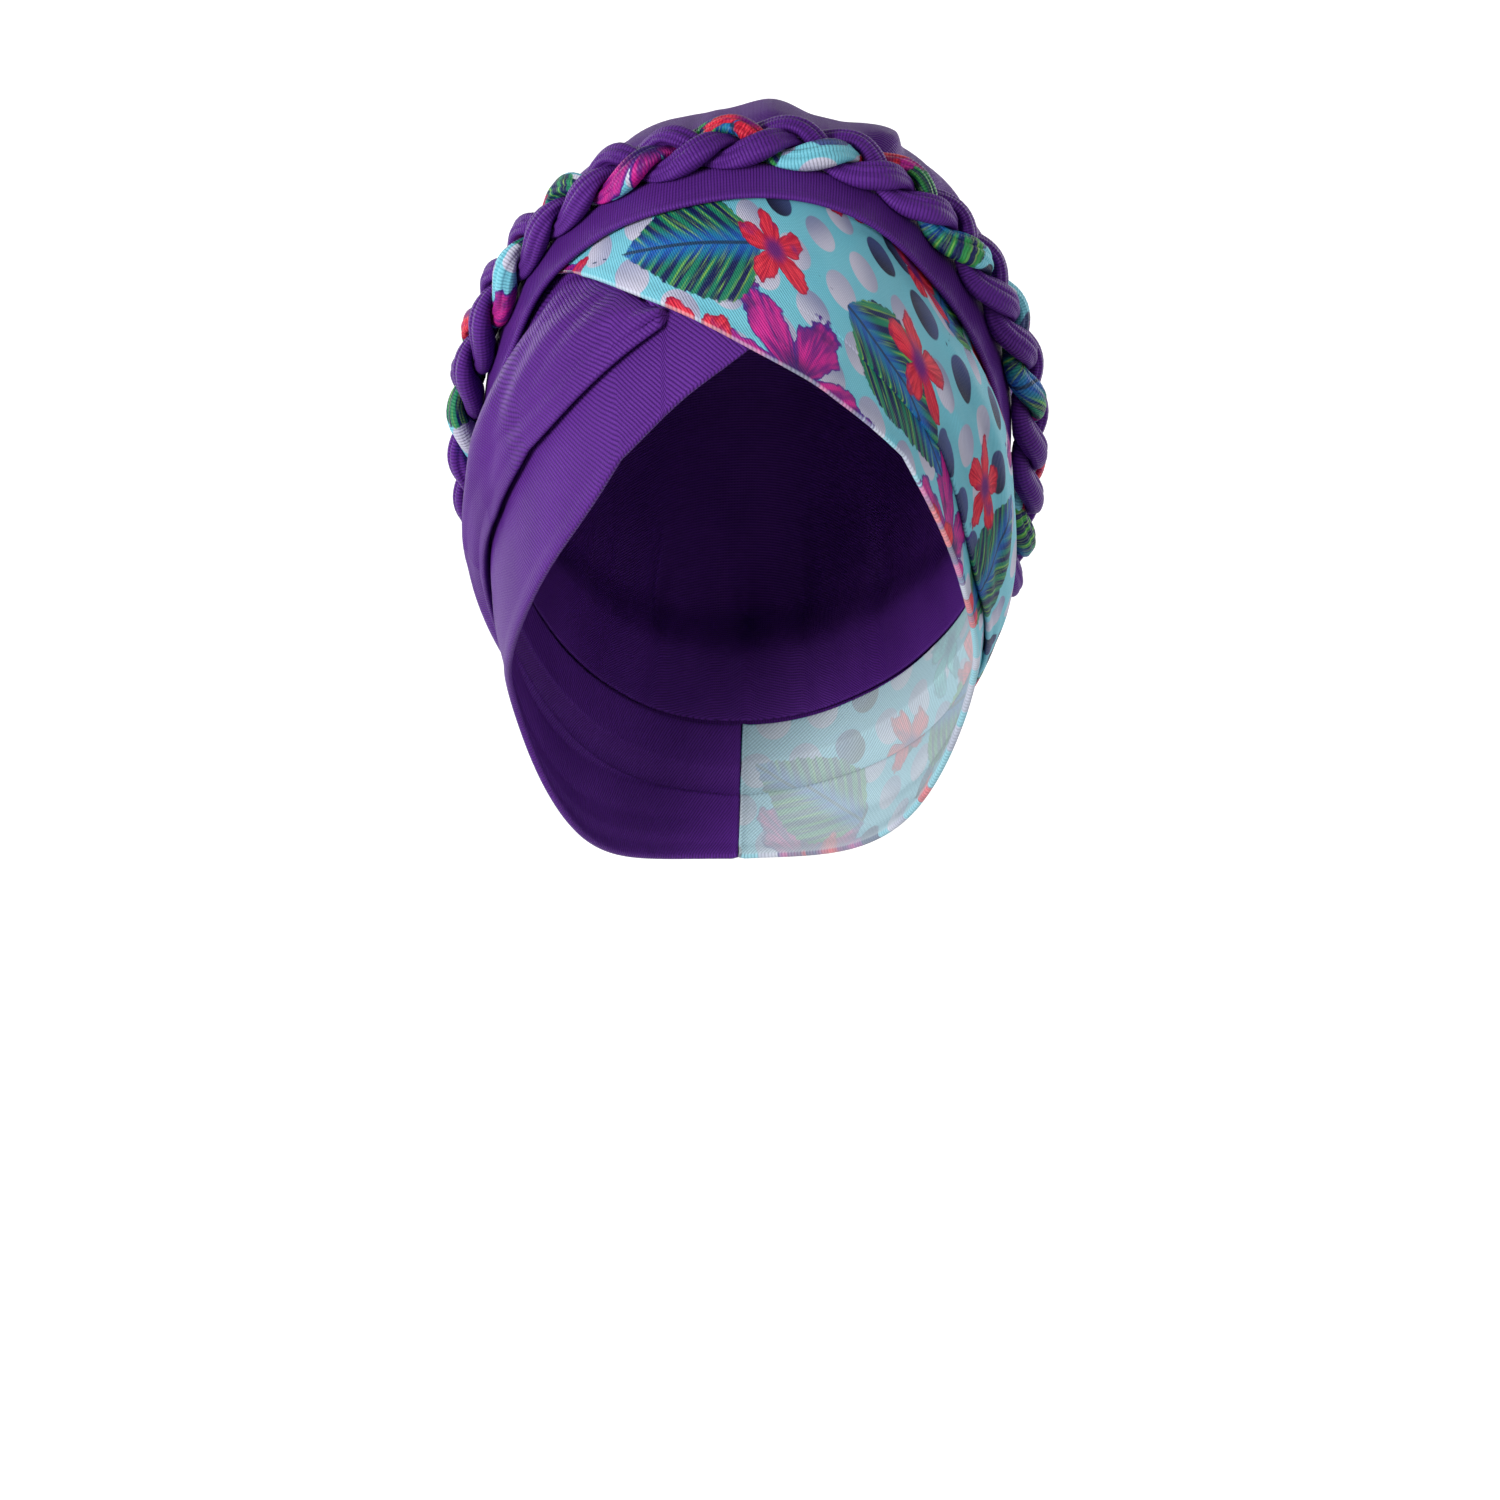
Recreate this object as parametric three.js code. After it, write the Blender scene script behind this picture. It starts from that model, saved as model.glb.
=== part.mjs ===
// A pre-tied turban headwrap of stretch knit: a gathered crown, a flat band, a pleated panel and
// a printed panel that cross over the forehead and meet at the nape, and a three-strand braid
// that lies as a halo round the crown. Millimetres, +Z up, the face towards -Y. The origin is
// the middle of the crown's inside, where the top of the wearer's head bears.
import * as THREE from "three";

// Cloth, and the room that is left between two layers.
const CLOTH = 1.9;
const GAP = 0.45;
const LAYER = CLOTH + GAP;

// The head that the wrap is tied for: four quarter ellipsoids that meet at its widest level.
const HEAD = {
  halfWidth: 78,
  frontDepth: 96,
  backDepth: 104,
  aboveWidest: 98,
  belowWidest: 172,
  widestLevel: -98,
  lean: 0.02,
};

// Places across the halo line, in mm towards the face. The braid lies on the line itself, and
// the band steps up over the panels between BAND_STEP and the crown's rim.
const BAND_BACK = -11;
const BAND_FRONT = 19.5;
const BAND_STEP = 3;
const BAND_MIDDLE = 13;
const CROWN_RIM = 7;
const PANEL_TOP = CROWN_RIM + 1.0;
const CLEAR = 1.5;
const AROUND = 48;

// The braid: its turns round the head, the height of its middle, how far its strands swing to
// the sides and rise and dip, and how far each is full to the sides, above and below.
const BRAID = {
  plaits: 12,
  phase: 0.33,
  middle: 9.9,
  swing: 4.9,
  rise: 2.4,
  sideways: 5.6,
  above: 3.2,
  below: 4.4,
};

// The halo line round the head, from the nape by -X and the forehead back to the nape.
const HALO = [
  { azimuth: -180, latitude: -34 },
  { azimuth: -150, latitude: -31 },
  { azimuth: -125, latitude: -22 },
  { azimuth: -106, latitude: -11 },
  { azimuth: -91, latitude: 2 },
  { azimuth: -80, latitude: 17 },
  { azimuth: -70, latitude: 32 },
  { azimuth: -51, latitude: 47.5 },
  { azimuth: -26, latitude: 55.5 },
  { azimuth: 2, latitude: 58.5 },
  { azimuth: 28, latitude: 55.5 },
  { azimuth: 51, latitude: 45.5 },
  { azimuth: 67, latitude: 30 },
  { azimuth: 79, latitude: 14 },
  { azimuth: 90, latitude: -3 },
  { azimuth: 105, latitude: -15 },
  { azimuth: 126, latitude: -24 },
  { azimuth: 151, latitude: -31 },
];

// Stations of the purple panel, from its end under the print to the centre back. halo is where
// it leaves the halo line, as the azimuth there, and face is where the station meets the edge
// round the face. pleat is the share of its height down to the pleat, and lobe, step and strip
// are the heights over the head of the lobe above the pleat, of the pleat and of the strip below.
const LEFT_PANEL = [
  { halo: 30, faceAzimuth: 27, faceLatitude: 41, pleat: 0.6, lobe: 0, step: 0, strip: 0 },
  { halo: 14, faceAzimuth: 13, faceLatitude: 29, pleat: 0.6, lobe: 0, step: 0, strip: 0 },
  { halo: -3, faceAzimuth: 0, faceLatitude: 19, pleat: 0.7, lobe: 0, step: 0, strip: 0 },
  { halo: -20, faceAzimuth: -13, faceLatitude: 12, pleat: 0.6, lobe: 0.4, step: 1.2, strip: 0.3 },
  { halo: -38, faceAzimuth: -25, faceLatitude: 2, pleat: 0.61, lobe: 1.8, step: 2.4, strip: 1.0 },
  { halo: -52, faceAzimuth: -36, faceLatitude: -5.5, pleat: 0.65, lobe: 3.4, step: 3.0, strip: 1.6 },
  { halo: -64, faceAzimuth: -48, faceLatitude: -11.5, pleat: 0.7, lobe: 5.0, step: 3.4, strip: 2.0 },
  { halo: -76, faceAzimuth: -61, faceLatitude: -18, pleat: 0.66, lobe: 6.2, step: 3.6, strip: 2.3 },
  { halo: -86, faceAzimuth: -76, faceLatitude: -24, pleat: 0.56, lobe: 6.6, step: 3.2, strip: 2.5 },
  { halo: -98, faceAzimuth: -90, faceLatitude: -29, pleat: 0.5, lobe: 5.8, step: 2.6, strip: 2.4 },
  { halo: -112, faceAzimuth: -99, faceLatitude: -40, pleat: 0.4, lobe: 4.4, step: 2.0, strip: 2.6 },
  { halo: -130, faceAzimuth: -115, faceLatitude: -50.5, pleat: 0.4, lobe: 2.8, step: 1.6, strip: 2.4 },
  { halo: -153, faceAzimuth: -144, faceLatitude: -55, pleat: 0.45, lobe: 1.6, step: 1.2, strip: 1.6 },
  { halo: -179.7, faceAzimuth: -179.7, faceLatitude: -56, pleat: 0.5, lobe: 0.8, step: 0.8, strip: 0.8 },
];

// Stations of the printed panel, from its tip on -X over the forehead to the centre back.
const PRINT_PANEL = [
  { halo: -60, faceAzimuth: -58, faceLatitude: 31, pleat: 0.6, lobe: 0, step: 0, strip: 0 },
  { halo: -46, faceAzimuth: -45, faceLatitude: 31.5, pleat: 0.6, lobe: 0, step: 0, strip: 0 },
  { halo: -30, faceAzimuth: -29, faceLatitude: 28.5, pleat: 0.6, lobe: 0, step: 0, strip: 0 },
  { halo: -14, faceAzimuth: -14, faceLatitude: 25, pleat: 0.6, lobe: 0, step: 0, strip: 0 },
  { halo: 2, faceAzimuth: 1, faceLatitude: 19, pleat: 0.65, lobe: 0, step: 0, strip: 0 },
  { halo: 17, faceAzimuth: 15, faceLatitude: 13, pleat: 0.7, lobe: 0.2, step: 0.2, strip: 0 },
  { halo: 32, faceAzimuth: 28, faceLatitude: 5.5, pleat: 0.75, lobe: 0.6, step: 0.4, strip: 0 },
  { halo: 46, faceAzimuth: 40, faceLatitude: -2.5, pleat: 0.8, lobe: 2.0, step: 0.8, strip: 0 },
  { halo: 58, faceAzimuth: 52, faceLatitude: -9.5, pleat: 0.85, lobe: 3.6, step: 1.2, strip: 0 },
  { halo: 69, faceAzimuth: 62, faceLatitude: -15.5, pleat: 0.9, lobe: 5.4, step: 1.6, strip: 0.4 },
  { halo: 80, faceAzimuth: 73, faceLatitude: -21, pleat: 0.88, lobe: 5.8, step: 2.2, strip: 1.0 },
  { halo: 91, faceAzimuth: 86, faceLatitude: -26, pleat: 0.76, lobe: 4.4, step: 2.2, strip: 1.6 },
  { halo: 105, faceAzimuth: 97, faceLatitude: -36, pleat: 0.56, lobe: 2.6, step: 1.6, strip: 2.6 },
  { halo: 122, faceAzimuth: 109, faceLatitude: -46, pleat: 0.45, lobe: 2.0, step: 1.2, strip: 2.4 },
  { halo: 148, faceAzimuth: 138, faceLatitude: -54, pleat: 0.45, lobe: 1.6, step: 1.2, strip: 1.6 },
  { halo: 179.7, faceAzimuth: 179.7, faceLatitude: -56, pleat: 0.5, lobe: 0.8, step: 0.8, strip: 0.8 },
];

// The roll of the edge round the face, where the panel isn't flat over nearly all its height.
const HEM = { width: 6, height: 0.9, flatMost: 0.85 };

// How a panel rises, by the share of the way down: the lobe is fullest above its middle, the
// pleat's step is whole by stepWhole, and the strip lifts over stripLift. Its last rows are
// closer together by the power stripRows.
const RISE = { lobeSkew: 0.75, stepWhole: 0.7, stripLift: 0.25, stripRows: 1.5 };
const PLEAT = { least: 0.05, most: 0.96 };
const LONGEST_FLAT = 0.9;
const SEARCH_STEP = 0.005;

// Ridges of the crown, which run from front to back at an x, and steepen to one side.
const RIDGES = [
  { x: 8, before: 15, after: 13, height: 2.6 },
  { x: 41, before: 13, after: 5, height: 2.2 },
  { x: -26, before: 12, after: 14, height: 0.8 },
];

// How far the crown stands off the head, on each side and at the back, and the parts of a unit
// direction between which it eases in there, and between which the ridges do at the top.
const FULLNESS = { minusX: 3.2, plusX: 6.5, back: 7.5 };
const SIDE_EASE = { from: 0.15, to: 0.75 };
const BACK_EASE = { from: 0.05, to: 0.85 };
const TOP_EASE = { from: 0.1, to: 0.6 };
const CROWN_POLE = { azimuth: 180, latitude: 45 };
const CROWN_RISE = 20;
const CROWN_ROWS = { open: 9, flat: 2 };
const GATHERS = { count: 22, height: 1.0 };

const PURPLE = 0x58268a;
const AQUA_PRINT = 0x8fb7b4;

const DEG = Math.PI / 180;
const { smoothstep, clamp, euclideanModulo } = THREE.MathUtils;

// The unit direction of an azimuth, 0 at the forehead and positive to +X, and a latitude.
function direction(azimuth, latitude) {
  const a = azimuth * DEG;
  const l = latitude * DEG;
  return new THREE.Vector3(Math.cos(l) * Math.sin(a), -Math.cos(l) * Math.cos(a), Math.sin(l));
}

// The point at an offset outside the head in a unit direction. The head leans a little to +X.
function onHead(way, offset) {
  const depth = (way.y < 0 ? HEAD.frontDepth : HEAD.backDepth) + offset;
  const height = (way.z > 0 ? HEAD.aboveWidest : HEAD.belowWidest) + offset;
  const z = height * way.z;
  const x = (HEAD.halfWidth + offset) * way.x + HEAD.lean * z;
  return new THREE.Vector3(x, depth * way.y, HEAD.widestLevel + z);
}

// The unit direction of a point near the head, which undoes onHead at offset 0.
function towards(point) {
  const z = point.z - HEAD.widestLevel;
  const depth = point.y < 0 ? HEAD.frontDepth : HEAD.backDepth;
  const height = z > 0 ? HEAD.aboveWidest : HEAD.belowWidest;
  const x = (point.x - HEAD.lean * z) / HEAD.halfWidth;
  return new THREE.Vector3(x, point.y / depth, z / height).normalize();
}

// A smooth curve through four values, at t from 0 to 1 between the middle two.
function spline(t, before, from, to, after) {
  const a = (to - before) / 2;
  const b = (after - from) / 2;
  const cubic = 2 * from - 2 * to + a + b;
  const square = 3 * to - 3 * from - 2 * a - b;
  return cubic * t ** 3 + square * t ** 2 + a * t + from;
}

// A column of a table at a place from 0 at its first row to 1 at its last.
function column(rows, name, place) {
  const at = clamp(place, 0, 1) * (rows.length - 1);
  const i = Math.min(Math.floor(at), rows.length - 2);
  const value = (k) => rows[clamp(k, 0, rows.length - 1)][name];
  return spline(at - i, value(i - 1), value(i), value(i + 1), value(i + 2));
}

// The halo line at the band's height, as a closed curve with the nape at 0 and 1.
const haloCurve = new THREE.CatmullRomCurve3(
  HALO.map(({ azimuth, latitude }) => onHead(direction(azimuth, latitude), 0)),
  true,
  "centripetal",
);
haloCurve.arcLengthDivisions = 720;

// The azimuth of the halo line at a share of its length, counted on from -180 at the nape.
function haloAzimuth(share) {
  const way = towards(haloCurve.getPointAt(share));
  const azimuth = Math.atan2(way.x, -way.y) / DEG;
  if (share < 0.25 && azimuth > 90) return azimuth - 360;
  if (share > 0.75 && azimuth < -90) return azimuth + 360;
  return azimuth;
}

// The share of the halo line's length at which it passes an azimuth, found by halving.
const HALVINGS = 24;
function haloShare(azimuth) {
  let low = 0;
  let high = 1;
  for (let k = 0; k < HALVINGS; k++) {
    const middle = (low + high) / 2;
    if (haloAzimuth(middle) < azimuth) low = middle;
    else high = middle;
  }
  return (low + high) / 2;
}

// The unit direction of the point on the head that is `across` mm from the halo line, measured
// towards the face, at a share of the line's length.
function besideHalo(share, across) {
  const at = euclideanModulo(share, 1);
  const point = haloCurve.getPointAt(at);
  const along = haloCurve.getTangentAt(at);
  const out = onHead(towards(point), 1).sub(point);
  const toFace = new THREE.Vector3().crossVectors(along, out).normalize();
  return towards(point.addScaledVector(toFace, across));
}

// Where a direction lies beside the halo line: the share of its length, and the mm across it.
const haloSteps = 720;
const haloPoints = haloCurve.getSpacedPoints(haloSteps);
function placeOf(way) {
  const point = onHead(way, 0);
  let best = { distance: Infinity };
  for (let k = 0; k < haloSteps; k++) {
    const distance = point.distanceToSquared(haloPoints[k]);
    if (distance < best.distance) best = { k, distance };
  }
  const along = haloCurve.getTangentAt(best.k / haloSteps);
  const line = point.clone().sub(haloPoints[best.k]);
  const share = best.k / haloSteps + line.dot(along) / haloCurve.getLength();
  const out = onHead(way, 1).sub(point);
  const across = line.dot(new THREE.Vector3().crossVectors(along, out).normalize());
  return { share: euclideanModulo(share, 1), across };
}

// A named mesh of these points and triangles, with its faces turned to point out.
function solid(name, material, points, index) {
  let volume = 0;
  for (let k = 0; k < index.length; k += 3) {
    const [a, b, c] = [points[index[k]], points[index[k + 1]], points[index[k + 2]]];
    volume += a.dot(b.clone().cross(c));
  }
  if (volume < 0) index.reverse();
  const geometry = new THREE.BufferGeometry().setFromPoints(points);
  geometry.setIndex(index);
  geometry.computeVertexNormals();
  const mesh = new THREE.Mesh(geometry, material);
  mesh.name = name;
  return mesh;
}

// A closed wall between an outer and an inner face, each a function of u along and v across.
// A loop joins its two ends, and a pole closes v = 0 to one point.
function wall(name, material, along, across, outer, inner, { loop = false, pole = false } = {}) {
  const points = [];
  const index = [];
  const columns = loop ? along : along + 1;
  const grid = (face) => {
    const first = points.length;
    if (pole) points.push(face(0, 0));
    for (let j = pole ? 1 : 0; j <= across; j++)
      for (let i = 0; i < columns; i++) points.push(face(i / along, j / across));
    const start = pole ? first + 1 - columns : first;
    return (i, j) => (pole && j === 0 ? first : start + j * columns + (i % columns));
  };
  const out = grid(outer);
  const into = grid(inner);
  const quad = (a, b, c, d) => {
    if (a !== b) index.push(a, b, c);
    if (c !== d) index.push(a, c, d);
  };
  for (let j = 0; j < across; j++)
    for (let i = 0; i < along; i++) {
      quad(out(i, j), out(i + 1, j), out(i + 1, j + 1), out(i, j + 1));
      quad(into(i + 1, j), into(i, j), into(i, j + 1), into(i + 1, j + 1));
    }
  for (let i = 0; i < along; i++) {
    if (!pole) quad(out(i + 1, 0), out(i, 0), into(i, 0), into(i + 1, 0));
    quad(out(i, across), out(i + 1, across), into(i + 1, across), into(i, across));
  }
  if (!loop)
    for (let j = 0; j < across; j++) {
      quad(out(0, j), out(0, j + 1), into(0, j + 1), into(0, j));
      quad(out(along, j + 1), out(along, j), into(along, j), into(along, j + 1));
    }
  return solid(name, material, points, index);
}

// How many layers of the purple panel lie under the print and the band's front edge, at a share
// of the halo line: 1 over the forehead, and none on the sides and at the back.
const PAST_END = 0.01;
const CROSSING = {
  from: haloShare(PRINT_PANEL[0].halo) - PAST_END,
  to: haloShare(LEFT_PANEL[0].halo) + PAST_END,
  ease: 0.06,
};
function layersUnder(share) {
  const { from, to, ease } = CROSSING;
  return smoothstep(share, from - ease, from) * (1 - smoothstep(share, to, to + ease));
}

// The height of the band's outer face over the head, at a place beside the halo line.
function bandTop({ share, across }) {
  return LAYER + LAYER * layersUnder(share) * smoothstep(across, BAND_STEP, CROWN_RIM) + CLOTH;
}

function frontBand(material) {
  const stops = [BAND_BACK, BAND_STEP, CROWN_RIM, BAND_MIDDLE, BAND_FRONT];
  const side = (depth) => (u, v) => {
    const across = stops[Math.round(v * (stops.length - 1))];
    return onHead(besideHalo(u, across), bandTop({ share: u, across }) - depth);
  };
  return wall("front_band", material, AROUND, stops.length - 1, side(0), side(CLOTH), { loop: true });
}

// The place of the print's edge round the face beside the halo line, which the purple panel
// lies flat under.
const printEdge = PRINT_PANEL.map((row) => placeOf(direction(row.faceAzimuth, row.faceLatitude)));
function coveredAcross(share) {
  const hidden = BAND_FRONT + CLEAR;
  const k = printEdge.findIndex((place) => place.share > share);
  if (k < 1) return hidden;
  const [from, to] = [printEdge[k - 1], printEdge[k]];
  const t = (share - from.share) / (to.share - from.share);
  return Math.max(hidden, from.across + (to.across - from.across) * t + CLEAR);
}

// A panel that hangs from the band: a wall from under the band to the edge round the face, with
// a lobe, a pleat and a strip below it, each with its own number of rows. flatTo gives how far
// across the halo line it lies flat, and under how many layers lie under it.
function panel(name, material, table, along, rows, flatTo, under) {
  const stations = table.map((row) => ({ ...row, share: haloShare(row.halo) }));
  const across = rows.flat + rows.lobe + rows.strip;
  const known = new Map();
  const station = (u) => {
    if (known.has(u)) return known.get(u);
    const get = (key) => column(stations, key, u);
    const top = besideHalo(get("share"), PANEL_TOP);
    const face = direction(get("faceAzimuth"), get("faceLatitude"));
    const height = onHead(top, 0).distanceTo(onHead(face, 0));
    const at = (w) => top.clone().lerp(face, w).normalize();
    let flat = 0;
    for (let w = 0; w <= LONGEST_FLAT; w += SEARCH_STEP) {
      const place = placeOf(at(w));
      if (place.across < flatTo(place.share)) flat = w;
    }
    const pleat = clamp(get("pleat"), flat + PLEAT.least, PLEAT.most);
    known.set(u, { get, at, height, flat, pleat });
    return known.get(u);
  };
  const shareDown = (row, { flat, pleat }) => {
    if (row <= rows.flat) return (flat * row) / rows.flat;
    if (row <= rows.flat + rows.lobe) return flat + ((pleat - flat) * (row - rows.flat)) / rows.lobe;
    return pleat + (1 - pleat) * ((row - rows.flat - rows.lobe) / rows.strip) ** RISE.stripRows;
  };
  const side = (thickness) => (u, v) => {
    const here = station(u);
    const { get, at, height, flat, pleat } = here;
    const row = Math.round(v * across);
    const w = shareDown(row, here);
    const down = clamp((w - flat) / (pleat - flat), 0, 1);
    const lobe = get("lobe") * Math.sin(Math.PI * down ** RISE.lobeSkew);
    const step = get("step") * smoothstep(down, 0, RISE.stepWhole);
    const inLobe = row <= rows.flat + rows.lobe;
    const strip = get("strip") * smoothstep(w, flat, flat + RISE.stripLift);
    const folds = (inLobe ? lobe + step : 0) + strip;
    const rolled = thickness > 0 && flat < HEM.flatMost;
    const roll = rolled ? HEM.height * smoothstep(w, 1 - HEM.width / height, 1) : 0;
    const way = at(w);
    const lift = LAYER * under(placeOf(way).share);
    return onHead(way, Math.max(0, folds) + lift + thickness + roll);
  };
  return wall(name, material, along, across, side(CLOTH), side(0));
}

// The crown's gathered bag: a wall that closes at its pole and lies flat under the band.
function crown(material) {
  const pole = direction(CROWN_POLE.azimuth, CROWN_POLE.latitude);
  const known = new Map();
  const meridian = (u) => {
    if (known.has(u)) return known.get(u);
    const rim = besideHalo(u, CROWN_RIM);
    const turn = pole.angleTo(rim);
    const at = (w) => {
      const way = pole.clone().multiplyScalar(Math.sin((1 - w) * turn));
      return way.addScaledVector(rim, Math.sin(w * turn)).normalize();
    };
    let flat = 1;
    while (placeOf(at(flat)).across > BAND_BACK - CLEAR) flat -= SEARCH_STEP;
    known.set(u, { at, flat });
    return known.get(u);
  };
  const ridges = (x) =>
    RIDGES.reduce((sum, ridge) => {
      const reach = x < ridge.x ? ridge.before : ridge.after;
      return sum + ridge.height * smoothstep(1 - Math.abs(x - ridge.x) / reach, 0, 1);
    }, 0);
  const across = CROWN_ROWS.open + CROWN_ROWS.flat;
  const side = (thickness) => (u, v) => {
    const { at, flat } = meridian(u);
    const row = Math.round(v * across);
    const open = Math.min(row / CROWN_ROWS.open, 1);
    const w = flat * open + ((1 - flat) * Math.max(row - CROWN_ROWS.open, 0)) / CROWN_ROWS.flat;
    const way = at(w);
    const free = 1 - smoothstep(placeOf(way).across, BAND_BACK - CLEAR - CROWN_RISE, BAND_BACK - CLEAR);
    const toSide = smoothstep(Math.abs(way.x), SIDE_EASE.from, SIDE_EASE.to);
    const toBack = smoothstep(way.y, BACK_EASE.from, BACK_EASE.to);
    const sideways = (way.x > 0 ? FULLNESS.plusX : FULLNESS.minusX) * toSide;
    const gather = GATHERS.height * (1 + Math.cos(2 * Math.PI * GATHERS.count * u)) * toBack * w ** 2;
    const full = Math.max(sideways, FULLNESS.back * toBack) + gather;
    const top = smoothstep(way.z, TOP_EASE.from, TOP_EASE.to);
    return onHead(way, free * (full + ridges(onHead(way, 0).x) * top) + thickness);
  };
  return wall("crown", material, AROUND, across, side(CLOTH), side(0), { loop: true, pole: true });
}

// The middle of a strand of the braid: it swings from side to side once in each plait, and rises
// and dips twice, so that the three strands pass over and under each other in turn.
function strandMiddle(number, share) {
  const turn = 2 * Math.PI * (BRAID.plaits * share + BRAID.phase + number / 3);
  const height = BRAID.middle - BRAID.rise * Math.sin(2 * turn);
  return onHead(besideHalo(share, BRAID.swing * Math.sin(turn)), height);
}

// A strand's sections in a plait and its sides, the samples of its middle in a plait, the least
// reach and the tries from there to the full one, and the room to leave to the other strands.
const STRAND = { sections: 12, sides: 6, samples: 24, smallest: 0.8, tries: 40, apart: 1.3 };
const OUTSIDE = 20;
const TANGENT_STEP = 0.0007;
const strandSteps = BRAID.plaits * STRAND.samples;
const strandLines = [0, 1, 2].map((number) =>
  Array.from({ length: strandSteps }, (_, k) => strandMiddle(number, k / strandSteps)),
);

// The distance from a point to the nearest of the other two strands' middles.
function roomToOthers(point, number, share) {
  const here = Math.round(share * strandSteps);
  const reach = STRAND.samples / 2;
  let nearest = Infinity;
  for (const other of [(number + 1) % 3, (number + 2) % 3])
    for (let k = here - reach; k < here + reach; k++) {
      const from = strandLines[other][euclideanModulo(k, strandSteps)];
      const to = strandLines[other][euclideanModulo(k + 1, strandSteps)];
      const near = new THREE.Line3(from, to).closestPointToPoint(point, true, new THREE.Vector3());
      nearest = Math.min(nearest, near.distanceTo(point));
    }
  return nearest;
}

// How far a point is above the band's outer face.
function overBand(point) {
  const way = towards(point);
  const top = onHead(way, bandTop(placeOf(way)));
  const out = onHead(way, OUTSIDE).sub(top).normalize();
  return point.clone().sub(top).dot(out);
}

// One strand: round its middle it is as full as its own size, the other strands and the band
// below it leave room for.
function braidStrand(name, number, material) {
  const count = BRAID.plaits * STRAND.sections;
  const points = [];
  const index = [];
  for (let i = 0; i < count; i++) {
    const share = i / count;
    const middle = strandMiddle(number, share);
    const ahead = strandMiddle(number, share + TANGENT_STEP);
    const along = ahead.sub(strandMiddle(number, share - TANGENT_STEP)).normalize();
    const up = onHead(towards(middle), OUTSIDE).sub(middle).normalize();
    const sideways = new THREE.Vector3().crossVectors(up, along).normalize();
    const above = new THREE.Vector3().crossVectors(along, sideways).normalize();
    for (let j = 0; j < STRAND.sides; j++) {
      const angle = (2 * Math.PI * (j + 0.5)) / STRAND.sides;
      const [c, s] = [Math.cos(angle), Math.sin(angle)];
      const spread = sideways.clone().multiplyScalar(c).addScaledVector(above, s);
      const full = 1 / Math.hypot(c / BRAID.sideways, s / (s > 0 ? BRAID.above : BRAID.below));
      let reach = STRAND.smallest;
      for (let k = 1; k <= STRAND.tries; k++) {
        const tried = STRAND.smallest + ((full - STRAND.smallest) * k) / STRAND.tries;
        const point = middle.clone().addScaledVector(spread, tried);
        if (roomToOthers(point, number, share) < tried + STRAND.apart || overBand(point) < GAP) break;
        reach = tried;
      }
      points.push(middle.clone().addScaledVector(spread, reach));
    }
  }
  const at = (i, j) => (i % count) * STRAND.sides + (j % STRAND.sides);
  for (let i = 0; i < count; i++)
    for (let j = 0; j < STRAND.sides; j++) {
      index.push(at(i, j), at(i + 1, j), at(i + 1, j + 1));
      index.push(at(i, j), at(i + 1, j + 1), at(i, j + 1));
    }
  return solid(name, material, points, index);
}

const cloth = (colour) => new THREE.MeshStandardMaterial({ color: colour, roughness: 0.6, metalness: 0 });
const purple = cloth(PURPLE);
const print = cloth(AQUA_PRINT);

const group = new THREE.Group();
group.add(crown(purple));
group.add(frontBand(purple));
const leftRows = { flat: 4, lobe: 5, strip: 4 };
group.add(panel("left_panel", purple, LEFT_PANEL, 30, leftRows, coveredAcross, () => 0));
const printRows = { flat: 3, lobe: 5, strip: 3 };
const underBand = () => BAND_FRONT + CLEAR;
group.add(panel("print_panel", print, PRINT_PANEL, 32, printRows, underBand, layersUnder));
group.add(braidStrand("braid_strand_1", 0, purple));
group.add(braidStrand("braid_strand_2", 1, purple));
group.add(braidStrand("braid_strand_3", 2, print));

export default group;
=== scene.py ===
"""A turban headwrap of stretch knit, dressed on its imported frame.

The wrap is made of a gathered crown, a flat band, a pleated purple panel, a printed panel that
crosses over it, and a braid of three strands. Shapes are worked out in millimetres and written
to the meshes in metres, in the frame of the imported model: face towards -Y, +Z up.
"""

import bmesh
import bpy
import numpy as np
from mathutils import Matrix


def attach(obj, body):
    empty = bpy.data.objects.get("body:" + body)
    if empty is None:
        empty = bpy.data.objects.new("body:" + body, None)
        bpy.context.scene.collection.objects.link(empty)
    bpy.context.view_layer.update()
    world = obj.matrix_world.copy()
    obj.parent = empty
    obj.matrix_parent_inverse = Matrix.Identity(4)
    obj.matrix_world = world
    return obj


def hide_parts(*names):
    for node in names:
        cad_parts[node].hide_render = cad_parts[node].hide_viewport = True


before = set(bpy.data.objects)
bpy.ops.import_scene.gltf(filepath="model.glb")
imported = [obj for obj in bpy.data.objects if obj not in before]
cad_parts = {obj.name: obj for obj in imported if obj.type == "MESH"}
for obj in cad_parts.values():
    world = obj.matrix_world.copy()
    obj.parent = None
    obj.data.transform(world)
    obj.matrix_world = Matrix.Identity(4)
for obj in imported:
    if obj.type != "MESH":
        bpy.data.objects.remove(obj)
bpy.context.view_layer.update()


# The view. The wrap is seen from the front and a little above, from two metres away, with a
# long lens. It is held up over a pale floor that sweeps up into a pale wall.
VIEW_DISTANCE = 2.0
VIEW_HEIGHT = 0.091
VIEW_SHIFT = 0.00093
VIEW_PITCH = np.radians(8.25)
FOCAL_MM, SENSOR_MM = 154.8, 36.0
FLOOR_LEVEL = -1.6
SWEEP_START, SWEEP_RADIUS, SWEEP_TOP = 2.6, 1.6, 5.0

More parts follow.
